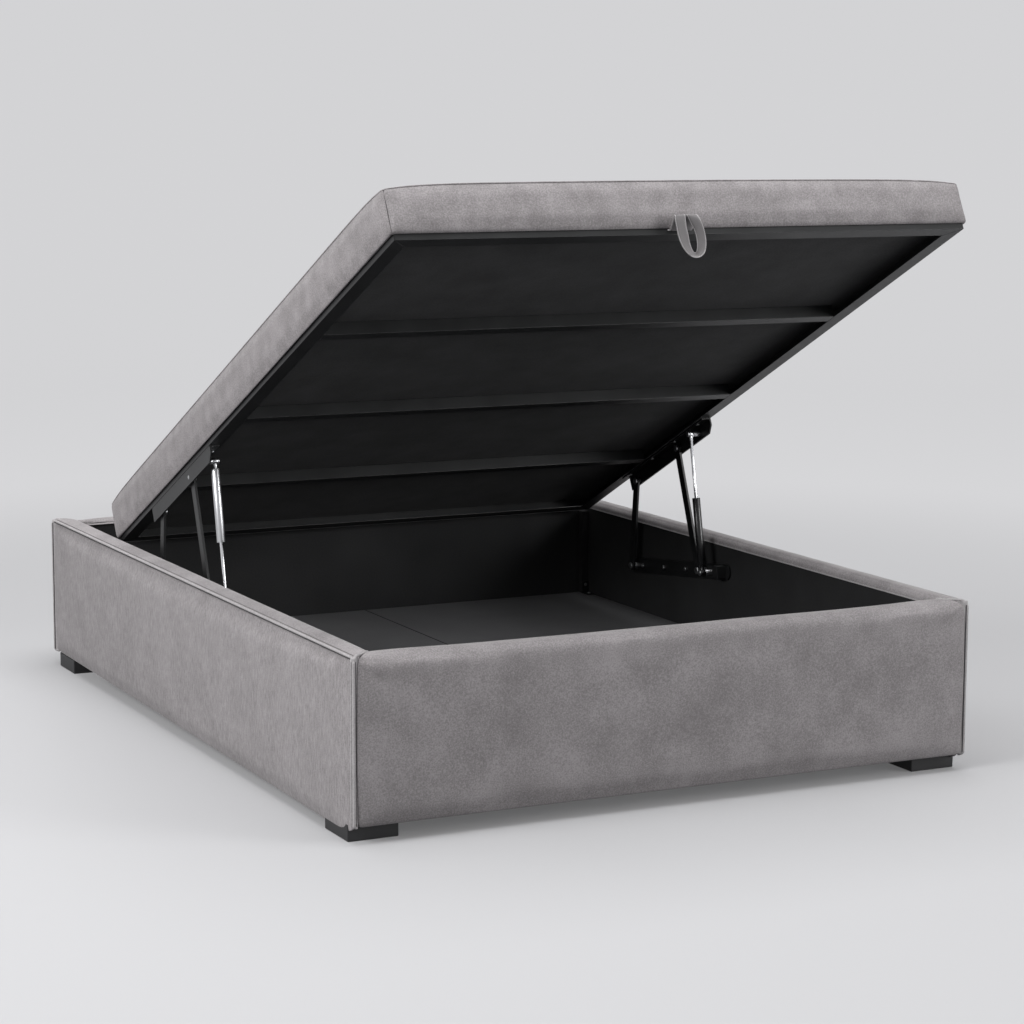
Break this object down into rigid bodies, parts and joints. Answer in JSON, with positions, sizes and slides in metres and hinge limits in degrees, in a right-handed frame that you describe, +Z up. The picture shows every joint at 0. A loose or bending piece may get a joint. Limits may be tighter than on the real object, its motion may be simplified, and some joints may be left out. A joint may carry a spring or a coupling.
{
  "type": "storage bed base",
  "caption": "Upholstered storage bed base whose padded lid lifts from the foot end on link arms and gas struts over a lined storage box on block feet.",
  "frame": {"origin": "On the floor under the centre leg, midway along and across the base box", "axes": "+X across the bed to the right as seen from the foot end, +Y from the foot end to the head end, +Z up"},
  "size_m": [1.49, 2.098, 1.3229],
  "materials": {
    "velvet": "brushed short-pile velvet, warm grey",
    "piping": "satin piping cord, pale grey",
    "black_lining": "black non-woven felt",
    "board": "bare particle board",
    "floor_board": "matte charcoal board",
    "black_steel": "satin black powder coat",
    "bright_steel": "zinc plated",
    "strut_silver": "satin silver",
    "strut_dark": "gloss black",
    "foot_black": "satin black moulded plastic",
    "webbing": "woven webbing, grey"
  },
  "bodies": {
    "base": {"base_screws": "bright_steel", "centre_bearer": "board", "centre_leg": "board", "floor_ledges": "board", "foot_board": "board", "head_board": "board", "foot_cover": "velvet", "head_cover": "velvet", "foot_lining": "black_lining", "rear_partition": "black_lining", "plate_bolts": "bright_steel", "plate_end_blocks": "black_steel", "post_brackets": "black_steel", "strut_lower_studs": "bright_steel", "corner_post_left": "black_lining", "corner_post_right": "black_lining", "floor_panel_left": "floor_board", "floor_panel_right": "floor_board", "foot_front_left": "foot_black", "foot_front_right": "foot_black", "foot_rear_left": "foot_black", "foot_rear_right": "foot_black", "lower_plate_left": "black_steel", "lower_plate_right": "black_steel", "rail_piping_left": "piping", "rail_piping_right": "piping", "side_board_left": "board", "side_board_right": "board", "side_cover_left": "velvet", "side_cover_right": "velvet", "side_lining_left": "black_lining", "side_lining_right": "black_lining"},
    "front_links": {"front_link_left": "black_steel", "front_link_right": "black_steel", "front_link_bolts": "bright_steel"},
    "lid": {"lid_cushion": "velvet", "lid_piping": "piping", "deck_board": "board", "underside_lining": "black_lining", "frame_front": "black_steel", "frame_rear": "black_steel", "frame_left": "black_steel", "frame_right": "black_steel", "cross_bar_1": "black_steel", "cross_bar_2": "black_steel", "cross_bar_3": "black_steel", "frame_screws": "bright_steel", "upper_rail_left": "black_steel", "upper_rail_right": "black_steel"},
    "rear_links": {"rear_link_left": "black_steel", "rear_link_right": "black_steel", "rear_link_bolts": "bright_steel"},
    "strut_lower": {"strut_rod_left": "strut_dark", "strut_barrel_right": "strut_dark"},
    "strut_upper": {"strut_barrel_left": "strut_silver", "strut_rod_right": "strut_silver", "strut_upper_studs": "bright_steel"},
    "pull_loop": {"pull_loop": "webbing"}
  },
  "joints": [
    {"name": "lid_lift", "type": "hinge", "parent": "base", "child": "front_links", "pos_m": [0, 0.03282, 0.3], "axis": [1, 0, 0], "range_deg": [-56.25, 0], "stiffness_Nm_per_rad": 1130, "springref_deg": 16.44},
    {"name": "lid_tilt", "type": "hinge", "parent": "front_links", "child": "lid", "pos_m": [0, 0.14887, 0.60152], "axis": [1, 0, 0], "range_deg": [0, 82.45]},
    {"name": "rear_link_swing", "type": "hinge", "parent": "base", "child": "rear_links", "pos_m": [0, 0.38159, 0.259], "axis": [1, 0, 0], "range_deg": [-67.77, 0]},
    {"name": "strut_swing", "type": "hinge", "parent": "base", "child": "strut_lower", "pos_m": [0, -0.01998, 0.304], "axis": [1, 0, 0], "range_deg": [-63.98, 0]},
    {"name": "strut_stroke", "type": "slide", "parent": "strut_lower", "child": "strut_upper", "axis": [0, 0.1987, 0.9801], "range_m": [-0.08658, 0]},
    {"name": "pull_loop_hang", "type": "hinge", "parent": "lid", "child": "pull_loop", "pos_m": [0, -1.05249, 1.22409], "axis": [1, 0, 0], "range_deg": [-26.2, 0]}
  ],
  "couplings": [
    {"joint": "lid_tilt", "follows": "lid_lift", "ratio": -1.4657},
    {"joint": "rear_link_swing", "follows": "lid_lift", "ratio": 1.2047},
    {"joint": "strut_swing", "follows": "lid_lift", "ratio": 1.1374},
    {"joint": "strut_stroke", "follows": "lid_lift", "m_per_rad": 0.088185},
    {"joint": "pull_loop_hang", "follows": "lid_lift", "ratio": 0.46575}
  ]
}
